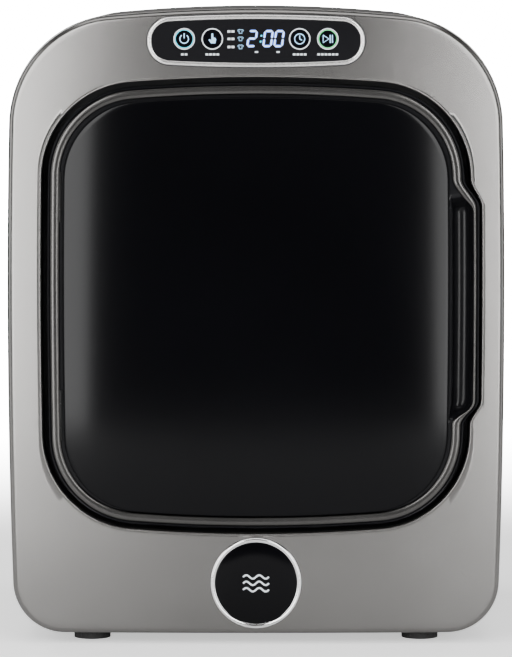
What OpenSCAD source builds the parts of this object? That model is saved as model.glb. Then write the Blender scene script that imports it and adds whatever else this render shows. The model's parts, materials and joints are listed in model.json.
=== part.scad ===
// Compact front-loading tumble dryer. Millimetres, +Z up, front towards -Y.
// The origin is the middle of the footprint, on the floor.

/* [Cabinet] */
// Width of the cabinet
body_w = 500; // [496:1:510]
// Height from the floor to the top of the cabinet
body_h = 640; // [636:1:650]
// Depth from the crown of the door glass to the end of the exhaust spigot
body_d = 440; // [436:1:450]
// Thickness of the cabinet's sheet steel
sheet_t = 1; // [0.8:0.1:1.5]
// Thickness of the moulded plastic walls
wall_t = 3; // [2.5:0.1:3]
// Height of the rubber feet
foot_h = 10.4; // [9:0.1:12]

/* [Door] */
// Half width of the door rim, without the handle's bulge
door_w = 209.5; // [208:0.5:210]
// Extra width of the door at the handle
handle_bulge = 15; // [12:0.5:15]
// Gap between the door rim and the fascia
door_gap = 6; // [5.5:0.1:7]
// Outer radius of the door's inner bowl at its flange
bowl_r = 150; // [140:1:151]

/* [Drum] */
// Outer radius of the drum
drum_r = 215; // [212:0.5:215]
// Height of the drum's axis
drum_z = 340; // [338:1:342]
// Number of lifters
lifter_count = 3; // [2:1:4]

/* [Drive and air] */
// Radius of the motor pulley under the belt
pulley_r = 8.5; // [8:0.1:10]
// Outer radius of the exhaust spigot
spigot_r = 40; // [36:0.5:40]
// Number of blades on the impeller
blade_count = 14; // [8:1:18]

/* [Control keys] */
// Radius of a key
key_r = 11; // [10:0.1:11]
// Distance of the inner keys from the middle
key_inner_x = 43.5; // [42:0.5:45]
// Distance of the outer keys from the middle
key_outer_x = 71.5; // [70:0.5:73]
// Travel of a key
key_travel = 0.8; // [0.4:0.1:0.9]

/* [Hidden] */
$fn = 96;

silver = [0.62, 0.61, 0.60];
black = [0.05, 0.05, 0.06];
charcoal = [0.16, 0.16, 0.17];
steel = [0.75, 0.76, 0.78];
zinc = [0.66, 0.68, 0.70];

eps = 0.01;
run_gap = 0.3;      // between curved faces of different bodies
bore_gap = 0.05;    // radial clearance of a running fit
half_w = body_w / 2;
half_d = body_d / 2;

// Planes from front to back
fascia_y = -half_d + 5;
cab_y0 = -half_d + 23;
cab_y1 = half_d - 34;
panel_y1 = cab_y1 + 1;
recess_y = -half_d + 50;
bulk_y = -half_d + 62;
bulk_t = 1;
rear_y = cab_y1 - 40;

// Outlines: large arcs along the edges, smaller arcs at the corners
crown_r = 1600;
side_r = 8000;
flat_r = 200000;
corner_steps = 9;
body_top_r = 110;
body_bot_r = 52;
mid_z = 341.5;
door_h = 224.5;
bulge_lo = [222, 246];
bulge_hi = [441, 470];
bulge_zs = concat(
    [for (i = [0:8]) bulge_lo[0] + (bulge_lo[1] - bulge_lo[0]) * i / 8],
    [for (i = [0:8]) bulge_hi[0] + (bulge_hi[1] - bulge_hi[0]) * i / 8]);

function dir(a) = [cos(a), sin(a)];
function soft(t) = t <= 0 ? 0 : t >= 1 ? 1 : t * t * (3 - 2 * t);
function bump(z) = soft((z - bulge_lo[0]) / (bulge_lo[1] - bulge_lo[0]))
    * soft((bulge_hi[1] - z) / (bulge_hi[1] - bulge_hi[0]));
function arc(c, r, a0, a1, n) = [for (i = [0:n]) c + r * dir(a0 + (a1 - a0) * i / n)];

// Upper meeting point of two circles
function meet(a, ra, b, rb) =
    let (
        d = norm(b - a),
        u = (b - a) / d,
        t = (d * d + ra * ra - rb * rb) / (2 * d),
        h = sqrt(ra * ra - t * t)
    )
    a + t * u + h * [u[1], -u[0]];

// Corner arc and half of the crown of one quarter, about the outline's own middle
function quarter(w, h, ra, r) =
    let (
        c = meet([0, h - ra], ra - r, [w - side_r, 0], side_r - r),
        a_side = atan2(c[1], c[0] - w + side_r),
        a_top = atan2(c[1] - h + ra, c[0])
    )
    concat(arc(c, r, a_side, a_top, corner_steps), [[0, h - ra] + ra * dir((a_top + 90) / 2)]);

// Closed outline in the x-z plane; its right side bulges by the given amount
function pillow(w, z0, z1, rt, rb, bulge = 0, low_r = crown_r) =
    let (
        h = (z1 - z0) / 2,
        m = (z0 + z1) / 2,
        up = quarter(w, h, crown_r, rt),
        lo = quarter(w, h, low_r, rb),
        n = len(up) - 1,
        zs = bulge > 0 ? bulge_zs : [m]
    )
    concat(
        [for (z = zs) [w - side_r + sqrt(side_r * side_r - pow(z - m, 2)) + bulge * bump(z), z]],
        [for (p = up) [p[0], m + p[1]]],
        [[0, z1]],
        [for (i = [n:-1:0]) [-up[i][0], m + up[i][1]]],
        [[-w, m]],
        [for (p = lo) [-p[0], m - p[1]]],
        [[0, z0]],
        [for (i = [n:-1:0]) [lo[i][0], m - lo[i][1]]]);

function body_outline(d) = pillow(half_w - d, foot_h + d, body_h - d, body_top_r - d,
    body_bot_r - d, 0, flat_r);
function fascia_outline(d) = pillow(half_w - d, foot_h + d, body_h - 1.5 - d,
    body_top_r - d, body_bot_r - d, 0, flat_r);
function opening_outline(d) = pillow(door_w + door_gap + d, mid_z - door_h - 4.6 - d,
    mid_z + door_h + 4.9 + d, 96 + d, 96 + d, handle_bulge - 3.5);
function door_outline(d) = pillow(door_w - d, mid_z - door_h + d, mid_z + door_h - d, 90 - d,
    90 - d, handle_bulge);
function glass_outline(d) = pillow(door_w - 15.5 - d, mid_z - door_h + 13 + d,
    mid_z + door_h - 15 - d, 78 - d, 78 - d);

// Outline of the control window: two flat crowns joined by end arcs
lens_z0 = 585.7 - 640 + body_h;
lens_z1 = lens_z0 + 43.2;
lens_w = 104;
key_z = lens_z0 + 23.7;
function lens_outline(d) = pillow(lens_w + d, lens_z0 - d, lens_z1 + d, 18.5 + d, 18.5 + d);

module slab(y0, y1) translate([0, y1, 0]) rotate([90, 0, 0]) linear_extrude(y1 - y0) children();
module along_y(x, z, y0, y1, r)
    translate([x, y0, z]) rotate([-90, 0, 0]) cylinder(h = y1 - y0, r = r);
module ring_y(x, z, y0, y1, ro, ri)
    difference() {
        along_y(x, z, y0, y1, ro);
        along_y(x, z, y0 - 1, y1 + 1, ri);
    }
module turned(z, points) translate([0, 0, z]) rotate([-90, 0, 0]) rotate_extrude() polygon(points);
module block(lo, hi) translate(lo) cube(hi - lo);
module around(z, n, a0 = 0)
    for (i = [0:n - 1])
        translate([0, 0, z]) rotate([0, a0 + 360 * i / n, 0]) children();

// ---- Cabinet ----

pan_z = 42;
floor_z = foot_h + wall_t + 0.1;

module cabinet() color(silver)
    difference() {
        slab(cab_y0, cab_y1) polygon(body_outline(0));
        slab(cab_y0 - 1, cab_y1 + 1) polygon(body_outline(sheet_t));
        block([-half_w - 1, cab_y0 - 1, 0], [half_w + 1, cab_y1 + 1, pan_z]);
    }

foot_x = 167;
foot_y0 = -half_d + 54;
foot_y1 = half_d - 70;
module base_pan() color(charcoal)
    difference() {
        slab(cab_y0, cab_y1) polygon(body_outline(0));
        slab(cab_y0 + wall_t, cab_y1 - wall_t) polygon(body_outline(wall_t));
        block([-half_w - 1, cab_y0 - 1, pan_z], [half_w + 1, cab_y1 + 1, body_h + 1]);
        along_y(spigot_x, spigot_z, cab_y1 - 10, cab_y1 + 1, spigot_r + 3);
        for (x = [-foot_x, foot_x], y = [foot_y0, foot_y1])
            translate([x, y, foot_h - 1]) cylinder(h = wall_t + 2, r = 5);
        for (i = [-3:3])
            block([-90 + 30 * i - 2, 20, foot_h - 1], [-90 + 30 * i + 2, 80, floor_z + 1]);
    }

module foot() {
    difference() {
        cylinder(h = foot_h, r = 18.5);
        for (i = [0:23])
            rotate([0, 0, 15 * i]) translate([18.5, 0, 3]) cylinder(h = foot_h, r = 0.7, $fn = 16);
    }
    translate([0, 0, foot_h]) cylinder(h = wall_t, r = 4.8);
}
module feet() color(black)
    for (x = [-foot_x, foot_x], y = [foot_y0, foot_y1])
        translate([x, y, 0]) foot();

// Block whose front is a crown: how far the edges fall back fixes the crown's radius
module crowned(outline, y0, y1, drop, reach, back = 0)
    let (r = reach * reach / (2 * drop))
    intersection() {
        slab(y0 + back, y1) polygon(outline);
        translate([0, y0 + r + back, 0]) cylinder(h = body_h + 60, r = r, $fn = 720);
    }

crown_drop = 8;
badge_z = 62.2;
throat_r = bowl_r + 10;
module fascia() color(silver)
    difference() {
        union() {
            difference() {
                crowned(fascia_outline(0), fascia_y, cab_y0, crown_drop, half_w);
                crowned(fascia_outline(wall_t), fascia_y, cab_y0 + 1, crown_drop, half_w, wall_t);
            }
            crowned(opening_outline(2.5), fascia_y, recess_y, crown_drop, half_w, 0.5);
        }
        slab(fascia_y - 1, recess_y + 1) polygon(opening_outline(0));
        slab(fascia_y - 1, fascia_y + wall_t + 3) polygon(lens_outline(1.5));
        for (x = [-30, 30])
            along_y(x, badge_z, fascia_y - 1, fascia_y + wall_t + 1, 2);
    }

module recess_floor() color(charcoal)
    difference() {
        slab(recess_y, recess_y + wall_t) polygon(opening_outline(2.5));
        along_y(0, drum_z, recess_y - 1, recess_y + wall_t + 1, throat_r);
    }

spigot_x = 30;
spigot_z = 70;
gland_x = 190;
gland_z = 62;
louvre_n = 11;
module back_panel() color(zinc)
    difference() {
        slab(cab_y1, panel_y1) polygon(body_outline(0.4));
        along_y(spigot_x, spigot_z, cab_y1 - 1, panel_y1 + 1, spigot_r + 0.2);
        along_y(gland_x, gland_z, cab_y1 - 1, panel_y1 + 1, 9);
        for (x = [-120, 120], i = [0:louvre_n - 1])
            block([x - 55, cab_y1 - 1, 400 + 12 * i], [x + 55, panel_y1 + 1, 404 + 12 * i]);
        for (i = [0:7])
            block([130, cab_y1 - 1, 180 + 12 * i], [220, panel_y1 + 1, 184 + 12 * i]);
    }

module back_screws() color(steel)
    for (p = [[-232, 90], [-234, 230], [-234, 370], [-232, 500], [-120, 622], [0, 628],
              [120, 622], [232, 500], [234, 370], [234, 230], [232, 90], [-100, 22], [110, 22]])
        difference() {
            along_y(p[0], p[1], panel_y1, panel_y1 + 2.4, 4.2);
            block([p[0] - 3, panel_y1 + 1.6, p[1] - 0.5], [p[0] + 3, panel_y1 + 3, p[1] + 0.5]);
        }

module rating_plate() color([0.8, 0.8, 0.8])
    block([120, panel_y1, 112], [200, panel_y1 + 0.6, 158]);

module cord_gland() color(black)
    difference() {
        union() {
            along_y(gland_x, gland_z, cab_y1 - 6, panel_y1 + 4, 9);
            along_y(gland_x, gland_z, panel_y1, panel_y1 + 3, 13);
            along_y(gland_x, gland_z, panel_y1 + 3, panel_y1 + 14, 7);
        }
        along_y(gland_x, gland_z, cab_y1 - 7, panel_y1 + 15, 4);
    }

module exhaust_spigot() color(charcoal)
    difference() {
        union() {
            along_y(spigot_x, spigot_z, rear_y + 4, half_d, spigot_r);
            along_y(spigot_x, spigot_z, panel_y1, panel_y1 + 2.5, spigot_r + 9);
        }
        along_y(spigot_x, spigot_z, rear_y + 3, half_d + 1, spigot_r - 2);
    }

// ---- Control panel and badge ----

module lens_ring(y0, y1, d)
    slab(y0, y1)
        difference() {
            polygon(lens_outline(d));
            polygon(lens_outline(0.1));
        }
module control_bezel() color([0.8, 0.8, 0.8]) {
    lens_ring(fascia_y - 1.8, fascia_y, 4.5);
    lens_ring(fascia_y, fascia_y + 6, 1.1);
}

lens_y = fascia_y - 1.2;
lens_t = 2.5;
key_xs = [-key_outer_x, -key_inner_x, key_inner_x, key_outer_x];
module control_lens() color(black)
    difference() {
        slab(lens_y, lens_y + lens_t) polygon(lens_outline(0));
        for (x = key_xs)
            along_y(x, key_z, lens_y - 1, lens_y + lens_t + 1, key_r + run_gap);
    }

board_y = fascia_y + 10;
module key(x) color(black) {
    along_y(x, key_z, lens_y - 0.4, lens_y + lens_t + run_gap, key_r);
    along_y(x, key_z, lens_y + lens_t + run_gap, lens_y + lens_t + 1.5, key_r + 1.2);
    along_y(x, key_z, lens_y + lens_t + 1.5, board_y - 3.5 - key_travel, 3.5);
}
module key_power() key(key_xs[0]);
module key_course() key(key_xs[1]);
module key_time() key(key_xs[2]);
module key_start() key(key_xs[3]);

module display_board() color([0.1, 0.3, 0.15]) {
    block([-98, board_y, lens_z0 + 4], [98, board_y + 1.6, lens_z1 - 4]);
    for (x = key_xs)
        block([x - 3, board_y - 3, key_z - 3], [x + 3, board_y, key_z + 3]);
    block([-29, lens_y + lens_t + 0.5, key_z - 12], [29.5, board_y, key_z + 12]);
    block([-90, board_y + 1.6, key_z - 8], [-60, board_y + 7, key_z + 4]);
    block([20, board_y + 1.6, key_z - 8], [45, board_y + 4, key_z + 8]);
}

badge_r = 46;
module badge_ring() color([0.85, 0.85, 0.85])
    ring_y(0, badge_z, fascia_y - 2.2, fascia_y, badge_r, badge_r - 4.5);
module badge_disc() color(black) {
    along_y(0, badge_z, fascia_y - 1.2, fascia_y, badge_r - 4.7);
    for (x = [-30, 30])
        along_y(x, badge_z, fascia_y, fascia_y + 4, 1.9);
}

// ---- Door ----

hinge_x = -198;
hinge_y = -half_d + 11;
hinge_zs = [mid_z - 110, mid_z + 110];
arm_h = 12;
knuckle_r = 3.5;
pin_r = 1.8;
leaf_y = [-half_d + 11.5, -half_d + 14];
rim_y = -half_d + 10;
door_back_y = -half_d + 44;
pocket_z = [248, 438];
pocket_x = [195.5, 219];

module door_frame() color(black)
    difference() {
        union() {
            slab(door_back_y - wall_t, door_back_y) polygon(door_outline(0));
            for (z = hinge_zs, s = [-1, 1])
                along_y(-165, z + s * 18, leaf_y[1], door_back_y - wall_t, 5);
        }
        along_y(0, drum_z, door_back_y - wall_t - 1, door_back_y + 1, bowl_r + eps);
        hinge_notches(door_back_y - wall_t - 1, door_back_y + 1);
    }

module hinge_notches(y0, y1)
    for (z = hinge_zs)
        block([-225, y0, z - 27], [-184, y1, z + 27]);

module skirt_ring()
    difference() {
        slab(rim_y, door_back_y - wall_t) polygon(door_outline(0));
        slab(rim_y - 1, door_back_y) polygon(door_outline(wall_t));
    }
module door_skirt() color(black)
    difference() {
        skirt_ring();
        hinge_notches(rim_y - 1, door_back_y);
        block([190, rim_y - 1, pocket_z[0] - 2], [230, door_back_y, pocket_z[1] + 3]);
    }

// The part of the skirt beside the fingers.
module grip_wall() color(black)
    intersection() {
        skirt_ring();
        block([190, rim_y - 1, pocket_z[0] - 2], [230, door_back_y, pocket_z[1] + 3]);
    }

module door_bezel() color(silver)
    difference() {
        slab(-half_d + 5.5, rim_y) polygon(door_outline(wall_t));
        slab(-half_d + 4, rim_y + 1) polygon(glass_outline(-0.1));
        block([pocket_x[0] - 3, -half_d + 4, pocket_z[0]], [pocket_x[1], rim_y + 1, pocket_z[1]]);
        hinge_notches(hinge_y - knuckle_r - 0.4, rim_y + 1);
    }

glass_t = 3.5;
glass_drop = 7;
module glass_block(back, d)
    intersection() {
        crowned(glass_outline(d), -half_d, -half_d + glass_drop + glass_t, glass_drop, door_w - 15.5, back);
        let (r = door_h * door_h / glass_drop)
            translate([-half_w, -half_d + r + back, mid_z])
                rotate([0, 90, 0]) cylinder(h = body_w, r = r, $fn = 720);
    }
module door_glass() color(black)
    difference() {
        glass_block(0, 0);
        glass_block(glass_t, -1);
    }

module handle_pocket() color(black)
    difference() {
        block([pocket_x[0] - 1.5, rim_y, pocket_z[0] - 2], [pocket_x[1] + 1.5, rim_y + 25, pocket_z[1] + 2]);
        block([pocket_x[0] + 0.5, rim_y - 1, pocket_z[0]], [pocket_x[1] - 0.5, rim_y + 23, pocket_z[1]]);
    }

bowl_y = bulk_y + 5;
module door_bowl() color([0.2, 0.2, 0.22])
    turned(drum_z, [
        [bowl_r + 8, door_back_y - wall_t - 2], [bowl_r + 8, door_back_y - wall_t],
        [bowl_r, door_back_y - wall_t], [bowl_r - 2, door_back_y + 1],
        [bowl_r - 11, bowl_y - 4], [bowl_r - 22, bowl_y], [0, bowl_y + 4],
        [0, bowl_y + 1.5], [bowl_r - 23, bowl_y - 2.5], [bowl_r - 13, bowl_y - 6],
        [bowl_r - 5, door_back_y - wall_t - 2]]);

module door_seal() color([0.25, 0.25, 0.26])
    turned(drum_z, [
        [throat_r + 4, door_back_y], [throat_r + 14, door_back_y],
        [throat_r + 12, recess_y - run_gap], [throat_r + 7, recess_y - run_gap]]);

catch_x = [188, 204];
catch_z = [mid_z - 14, mid_z + 14];
module door_strike() color(steel)
    block([catch_x[0] + 1, door_back_y, catch_z[0]], [catch_x[1] - 1, door_back_y + 1.6, catch_z[1]]);
module door_magnet() color(charcoal)
    block([catch_x[0], door_back_y + 1.6 + run_gap, catch_z[0] - 4], [catch_x[1], recess_y, catch_z[1] + 4]);
module door_switch() color([0.9, 0.9, 0.85])
    block([catch_x[0], recess_y + wall_t, mid_z + 24], [catch_x[1], recess_y + wall_t + 6, mid_z + 48]);

module hinge_leaves() color(steel)
    for (z = hinge_zs)
        difference() {
            union() {
                for (s = [-1, 1])
                    translate([hinge_x, hinge_y, z + s * 18.9]) cylinder(h = 12.4, r = knuckle_r, center = true);
                block([hinge_x, leaf_y[0], z - 25.1], [-152, leaf_y[1], z + 25.1]);
            }
            translate([hinge_x, hinge_y, z]) cylinder(h = 80, r = pin_r, center = true);
            block([hinge_x - 8, hinge_y - 8, z - 12.7], [hinge_x + 7, hinge_y + 8, z + 12.7]);
        }

module hinge_pins() color(zinc)
    for (z = hinge_zs)
        translate([hinge_x, hinge_y, z]) cylinder(h = 50.2, r = pin_r, center = true);

module hinge_brackets() color(steel)
    for (z = hinge_zs)
        difference() {
            union() {
                translate([hinge_x, hinge_y, z]) cylinder(h = 2 * arm_h, r = knuckle_r, center = true);
                translate([0, 0, z - arm_h]) linear_extrude(2 * arm_h)
                    polygon([[hinge_x - 2.4, hinge_y + 0.6], [hinge_x + 2.4, hinge_y - 0.6],
                             [hinge_x + 10.6, recess_y - 1], [hinge_x + 5.6, recess_y - 1]]);
                block([hinge_x - 12, recess_y - 2, z - 22], [hinge_x + 22, recess_y, z + 22]);
            }
            translate([hinge_x, hinge_y, z]) cylinder(h = 60, r = pin_r + bore_gap, center = true);
        }

// ---- Bulkheads and felts ----

neck_r = drum_r - 7.5;
collar_r = neck_r - run_gap - 3.7;
neck_y0 = bulk_y + 6;
neck_y1 = neck_y0 + 13;
heater_x = [122, 218];
heater_z = [30, 138];
grille_rs = [throat_r + 12, throat_r + 21, throat_r + 30];

module bulk_plate(y0) {
    slab(y0, y0 + bulk_t) polygon(body_outline(wall_t));
    difference() {
        slab(y0, y0 + bulk_t + 8) polygon(body_outline(sheet_t));
        slab(y0 - 1, y0 + bulk_t + 9) polygon(body_outline(wall_t));
        block([-half_w, y0 - 1, 0], [half_w, y0 + 20, pan_z]);
    }
}
module front_bulkhead() color(zinc)
    difference() {
        union() {
            bulk_plate(bulk_y);
            along_y(0, drum_z, recess_y + wall_t, bulk_y, throat_r + 1.5);
            along_y(0, drum_z, bulk_y, neck_y1, collar_r);
        }
        along_y(0, drum_z, recess_y, bulk_y + 5, throat_r);
        along_y(0, drum_z, bulk_y + bulk_t, neck_y1 + 1, collar_r - 1.5);
        block([heater_x[0] + 10, bulk_y - 1, heater_z[0] + 20], [heater_x[1] - 10, bulk_y + 3, heater_z[1] - 8]);
        for (r = grille_rs, a = [22:5:70])
            along_y(r * cos(a), drum_z - r * sin(a), bulk_y - 1, bulk_y + 3, 3.4);
    }

module front_felt() color([0.85, 0.82, 0.75])
    ring_y(0, drum_z, neck_y0 + 1, neck_y1 - 1, neck_r - run_gap, collar_r);

drum_y1 = rear_y - 16;
rear_collar_r = drum_r + 4.5;
intake = [-110, 215];
fan = [-160, 78];
module rear_bulkhead() color(zinc)
    difference() {
        union() {
            bulk_plate(rear_y);
            along_y(0, drum_z, drum_y1 - 12, rear_y, rear_collar_r);
        }
        along_y(0, drum_z, drum_y1 - 13, rear_y, rear_collar_r - 1.5);
        along_y(0, drum_z, rear_y - 1, rear_y + 3, 21);
        along_y(intake[0], intake[1], rear_y - 1, rear_y + 3, 38);
        along_y(fan[0], fan[1], rear_y - 1, rear_y + 3, 36);
        along_y(spigot_x, spigot_z, rear_y - 1, rear_y + 3, spigot_r + 2.2);
        for (i = [0:3])
            block([140, rear_y - 1, 50 + 22 * i], [220, rear_y + 3, 64 + 22 * i]);
    }

module rear_felt() color([0.85, 0.82, 0.75])
    ring_y(0, drum_z, drum_y1 - 11, drum_y1 - 3, rear_collar_r - 1.5, drum_r + run_gap);

bush_r = 13;
spindle_r = 8.5;
module bearing_housing() color(zinc)
    difference() {
        union() {
            along_y(0, drum_z, rear_y + bulk_t, rear_y + 30, 24);
            along_y(0, drum_z, rear_y + bulk_t, rear_y + 5, 48);
            for (a = [0:60:179])
                translate([0, 0, drum_z]) rotate([0, a, 0])
                    block([-46, rear_y + 4, -2], [46, rear_y + 18, 2]);
        }
        along_y(0, drum_z, rear_y, rear_y + 31, bush_r);
    }
module bearing_bush() color([0.72, 0.5, 0.25])
    ring_y(0, drum_z, rear_y + 2, rear_y + 29, bush_r, spindle_r + bore_gap);

// ---- Drum ----

module drum_shell() color(steel)
    turned(drum_z, [
        [neck_r, neck_y0], [neck_r + 1, neck_y0], [neck_r + 1, neck_y1], [drum_r, neck_y1],
        [drum_r, drum_y1], [drum_r - 1, drum_y1], [drum_r - 1, neck_y1 + 1], [neck_r, neck_y1 + 1]]);

hole_rs = [84, 104, 124, 144, 164, 184];
module drum_back() color(steel)
    difference() {
        union() {
            along_y(0, drum_z, drum_y1 - 3, drum_y1 - 1, drum_r - 1);
            ring_y(0, drum_z, drum_y1 - 11, drum_y1 - 3 + eps, 64.5, 62.5);
        }
        for (r = hole_rs)
            around(drum_z, round(r / 5.2))
                along_y(r, 0, drum_y1 - 4, drum_y1, 3.2);
        for (r = [20, 38, 54])
            around(drum_z, round(r / 3.3))
                along_y(r, 0, drum_y1 - 4, drum_y1, 3.2);
    }

lifter_y = [neck_y1 + 8, drum_y1 - 12];
module lifters() color(charcoal)
    around(drum_z, lifter_count)
        slab(lifter_y[0], lifter_y[1])
            polygon([[-34, drum_r - 4.1], [-30, drum_r - 8], [-15, 180], [-9, 174], [9, 174], [15, 180],
                     [30, drum_r - 8], [34, drum_r - 4.1]]);

module drum_hub() color(zinc) {
    along_y(0, drum_z, drum_y1 - 1, drum_y1 + 6, 26);
    difference() {
        around(drum_z, 3, 60)
            block([-16, drum_y1 - 1, 20], [16, drum_y1 + 5, 205]);
        for (i = [0:2])
            translate([0, 0, drum_z]) rotate([0, 60 + 120 * i, 0])
                along_y(0, 190, drum_y1 - 2, drum_y1 + 6, 4);
    }
    along_y(0, drum_z, drum_y1 + 6, rear_y - 2, 16);
    along_y(0, drum_z, rear_y - 2, rear_y + 33, spindle_r);
}

filter_y = drum_y1 - 18;
module lint_filter() color([0.3, 0.45, 0.6])
    difference() {
        union() {
            turned(drum_z, [
                [0, filter_y - 1], [50, filter_y], [60, filter_y + 4], [62, filter_y + 8],
                [62, drum_y1 - 3.4], [59, drum_y1 - 3.4], [57, filter_y + 7], [48, filter_y + 3],
                [0, filter_y + 2]]);
            along_y(0, drum_z, filter_y - 12, filter_y + 1, 12);
        }
        for (r = [22, 30, 38, 46], i = [0:11])
            translate([0, 0, drum_z]) rotate([0, 30 * i, 0])
                block([-r * 0.19, filter_y - 3, r - 2], [r * 0.19, filter_y + 6, r + 2]);
    }

// ---- Drive ----

belt_y = [-66, -56];
belt_t = 2.5;
idler = [-95, 86];
idler_r = 14;
function turn_in(a, ra, b, rb) = acos((ra + rb) / norm(b - a));
function heading(a, b) = atan2(b[1] - a[1], b[0] - a[0]);
drum_c = [0, drum_z];

// The belt's line, o outside its inner face: round the drum, the pulley and the idler's back
function belt_line(o) =
    let (
        rd = drum_r + run_gap + o,
        rp = pulley_r + run_gap + o,
        ri = idler_r + run_gap + belt_t - o,
        left = heading(fan, drum_c) + acos((rp - rd) / norm(drum_c - fan)),
        low = heading(fan, idler) - turn_in(fan, rp, idler, ri),
        right = heading(drum_c, idler) + turn_in(drum_c, rd, idler, ri)
    )
    concat(
        arc(drum_c, rd, right, left, 60),
        arc(fan, rp, left, low + 360, 14),
        arc(idler, ri, low + 180, right + 180, 3));
module belt() color(black)
    slab(belt_y[0], belt_y[1])
        difference() {
            polygon(belt_line(belt_t));
            polygon(belt_line(0));
        }

motor_r = 45;
motor_y = [-38, 70];
shaft_r = 5;
module motor_body() color([0.35, 0.36, 0.38])
    difference() {
        union() {
            along_y(fan[0], fan[1], motor_y[0], motor_y[1], motor_r);
            along_y(fan[0], fan[1], motor_y[0] - 6, motor_y[0], 14);
            along_y(fan[0], fan[1], motor_y[1], motor_y[1] + 6, 14);
        }
        along_y(fan[0], fan[1], motor_y[0] - 8, motor_y[1] + 8, shaft_r + bore_gap);
        for (i = [0:9])
            translate([fan[0], 0, fan[1]]) rotate([0, 36 * i, 0])
                block([-4, motor_y[0] - 1, 24], [4, motor_y[0] + 4, 38]);
    }

pivot = [-60, 42];
arm_y = [-52, -47];
module motor_bracket() color(zinc) {
    difference() {
        union() {
            block([-190, -30, floor_z], [-112, 64, floor_z + 3]);
            for (y = [-22, 50]) {
                block([-190, y, floor_z + 3], [-116, y + 8, fan[1]]);
                along_y(fan[0], fan[1], y, y + 8, motor_r + 4);
            }
        }
        along_y(fan[0], fan[1], motor_y[0], motor_y[1], motor_r);
        block([-230, -40, fan[1] - 70], [fan[0] - motor_r - 3, 80, fan[1] - 22]);
    }
    block([-112, -46, floor_z], [-20, -30, floor_z + 3]);
    block([pivot[0] - 8, -46, floor_z + 3], [pivot[0] + 8, -41, pivot[1] + 8]);
    along_y(pivot[0], pivot[1], arm_y[0] - 0.5, -46, 4);
    along_y(pivot[0], pivot[1], arm_y[0] - 2.5, arm_y[0] - 0.5, 6.5);
}

module motor_shaft() color(steel)
    along_y(fan[0], fan[1], belt_y[0] - 4, 142, shaft_r);

module motor_pulley() color(zinc)
    difference() {
        union() {
            along_y(fan[0], fan[1], belt_y[0] - 2, belt_y[1] + 6, pulley_r);
            along_y(fan[0], fan[1], belt_y[0] - 2, belt_y[0] - 0.5, pulley_r + 4);
            along_y(fan[0], fan[1], belt_y[1] + 0.5, belt_y[1] + 2, pulley_r + 4);
        }
        along_y(fan[0], fan[1], belt_y[0] - 5, belt_y[1] + 8, shaft_r);
    }

fan_y = [98, rear_y];
module impeller() color([0.4, 0.42, 0.45])
    difference() {
        union() {
            along_y(fan[0], fan[1], fan_y[0] + 6, fan_y[0] + 8, 49);
            along_y(fan[0], fan[1], fan_y[0] + 6, fan_y[0] + 30, 11);
            for (i = [0:blade_count - 1])
                translate([fan[0], 0, fan[1]]) rotate([0, 360 * i / blade_count, 0])
                    translate([30, 0, 0]) rotate([0, 35, 0])
                        block([-2, fan_y[0] + 8, -0.8], [18, fan_y[1] - 8, 0.8]);
            ring_y(fan[0], fan[1], fan_y[1] - 10, fan_y[1] - 8, 49, 38);
        }
        along_y(fan[0], fan[1], fan_y[0], fan_y[1], shaft_r);
    }

// Spiral casing outline, d inside its outer face, open to the right
outlet_x = -92;
function scroll_line(d) = concat(
    [for (a = [-20:10:270]) fan + (56 - d + 8 * (a + 20) / 290) * dir(a)],
    [[outlet_x + (d > 0 ? 2 : 0), fan[1] - 64 + d]],
    [[outlet_x + (d > 0 ? 2 : 0), fan[1] - 19.2 - d]]);
module fan_scroll() color(charcoal)
    difference() {
        slab(fan_y[0], fan_y[1]) polygon(scroll_line(0));
        slab(fan_y[0] + 2, fan_y[1] - 2) polygon(scroll_line(2));
        along_y(fan[0], fan[1], fan_y[1] - 3, fan_y[1] + 1, 34);
        along_y(fan[0], fan[1], fan_y[0] - 1, fan_y[0] + 3, 8);
    }

// Outline round two equal circles
function capsule(a, b, r) =
    let (h = heading(a, b))
    concat(arc(b, r, h - 90, h + 90, 16), arc(a, r, h + 90, h + 270, 16));
module rear_duct() color(charcoal)
    difference() {
        slab(rear_y + bulk_t, rear_y + 32) polygon(capsule(fan, intake, 44));
        slab(rear_y + bulk_t - 1, rear_y + 30.5) polygon(capsule(fan, intake, 42.5));
    }

duct_top = 114;
module exhaust_duct() color(charcoal)
    difference() {
        union() {
            block([outlet_x, fan_y[0], fan[1] - 64], [spigot_x + 48, fan_y[1], duct_top]);
            along_y(spigot_x, spigot_z, fan_y[1], rear_y + 22, spigot_r + 2);
        }
        block([outlet_x + 2, fan_y[0] + 2, fan[1] - 62], [spigot_x + 46, fan_y[1] - 2, duct_top - 2]);
        block([outlet_x - 1, fan_y[0] + 2, fan[1] - 62], [outlet_x + 3, fan_y[1] - 2, fan[1] - 21.2]);
        along_y(spigot_x, spigot_z, fan_y[1] - 3, rear_y + 23, spigot_r + 0.1);
    }

module idler_arm() color(steel)
    difference() {
        union() {
            slab(arm_y[0], arm_y[1]) polygon(capsule(pivot, idler, 7));
            slab(arm_y[0], arm_y[1]) polygon(capsule(pivot, [-30, 45], 5));
            along_y(idler[0], idler[1], belt_y[0] - 3, arm_y[0], 3);
            along_y(idler[0], idler[1], belt_y[0] - 4.5, belt_y[0] - 3, 5);
        }
        along_y(pivot[0], pivot[1], arm_y[0] - 1, arm_y[1] + 1, 4 + bore_gap);
    }
module idler_pulley() color(charcoal)
    difference() {
        union() {
            along_y(idler[0], idler[1], belt_y[0] - 0.5, belt_y[1] + 0.5, idler_r);
            along_y(idler[0], idler[1], belt_y[0] - 2, belt_y[0] - 0.5, idler_r + 2.2);
            along_y(idler[0], idler[1], belt_y[1] + 0.5, belt_y[1] + 2, idler_r + 2.2);
        }
        along_y(idler[0], idler[1], belt_y[0] - 3, belt_y[1] + 3, 3 + bore_gap);
    }

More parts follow.
